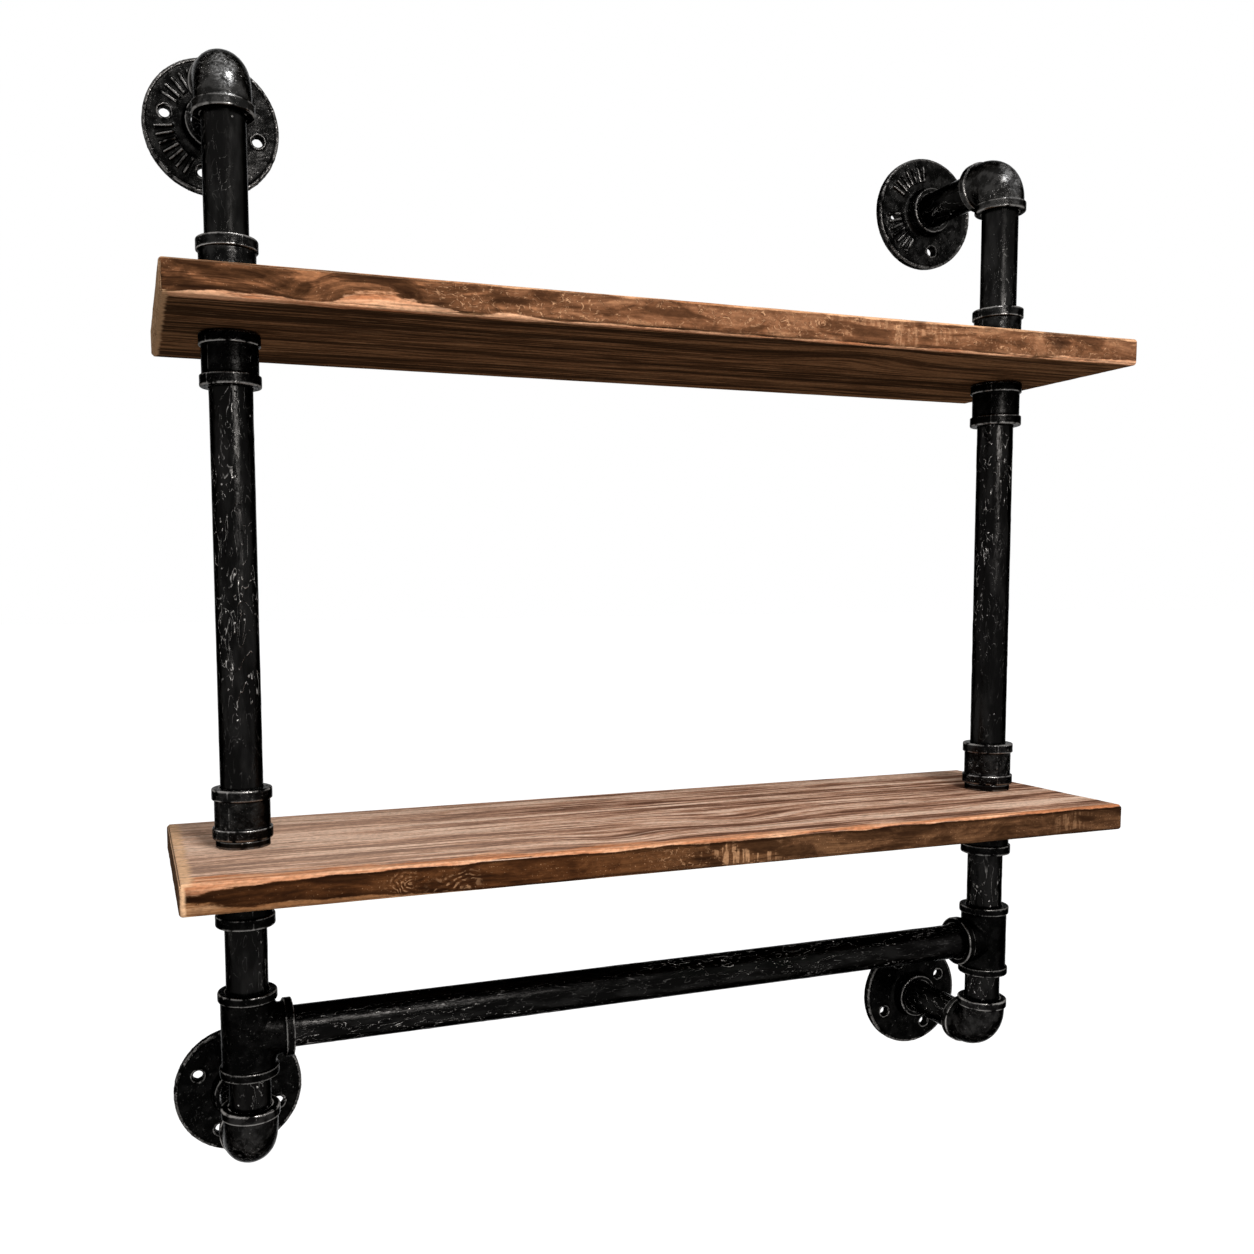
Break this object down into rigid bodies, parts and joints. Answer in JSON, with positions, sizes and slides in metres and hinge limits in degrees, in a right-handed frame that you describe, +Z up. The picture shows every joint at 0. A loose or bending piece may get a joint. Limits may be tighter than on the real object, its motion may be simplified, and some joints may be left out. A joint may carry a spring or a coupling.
{
  "type": "wall shelf",
  "caption": "Wall shelf of black pipe and cast fittings, with stained wooden boards, a towel bar under the lower board and round flanges that screw to the wall.",
  "frame": {"origin": "on the wall plane, halfway between the four wall flanges, at the mount wall_centre", "axes": "+X to the right along the boards, +Y into the wall, +Z up"},
  "size_m": [0.6592, 0.1917, 0.7506],
  "materials": {
    "black_pipe": "satin black paint over streaked steel pipe",
    "black_casting": "satin black paint over rough cast iron",
    "stained_wood": "brown stain, matt, with worn lighter edges"
  },
  "bodies": {
    "root": {"left_coupling_over_lower_board": "black_casting", "left_coupling_over_upper_board": "black_casting", "left_coupling_under_lower_board": "black_casting", "left_coupling_under_upper_board": "black_casting", "left_long_pipe": "black_pipe", "left_lower_elbow": "black_casting", "left_lower_wall_flange": "black_casting", "left_lower_wall_nipple": "black_pipe", "left_nipple_through_lower_board": "black_pipe", "left_nipple_through_upper_board": "black_pipe", "left_short_pipe": "black_pipe", "left_spacer_ring_on_lower_board": "black_pipe", "left_spacer_ring_on_upper_board": "black_pipe", "left_tail_nipple": "black_pipe", "left_tee": "black_casting", "left_top_pipe": "black_pipe", "left_upper_elbow": "black_casting", "left_upper_wall_flange": "black_casting", "left_upper_wall_nipple": "black_pipe", "lower_board": "stained_wood", "right_coupling_over_lower_board": "black_casting", "right_coupling_over_upper_board": "black_casting", "right_coupling_under_lower_board": "black_casting", "right_coupling_under_upper_board": "black_casting", "right_long_pipe": "black_pipe", "right_lower_elbow": "black_casting", "right_lower_wall_flange": "black_casting", "right_lower_wall_nipple": "black_pipe", "right_nipple_through_lower_board": "black_pipe", "right_nipple_through_upper_board": "black_pipe", "right_short_pipe": "black_pipe", "right_spacer_ring_on_lower_board": "black_pipe", "right_spacer_ring_on_upper_board": "black_pipe", "right_tail_nipple": "black_pipe", "right_tee": "black_casting", "right_top_pipe": "black_pipe", "right_upper_elbow": "black_casting", "right_upper_wall_flange": "black_casting", "right_upper_wall_nipple": "black_pipe", "towel_bar": "black_pipe", "upper_board": "stained_wood"}
  },
  "joints": []
}
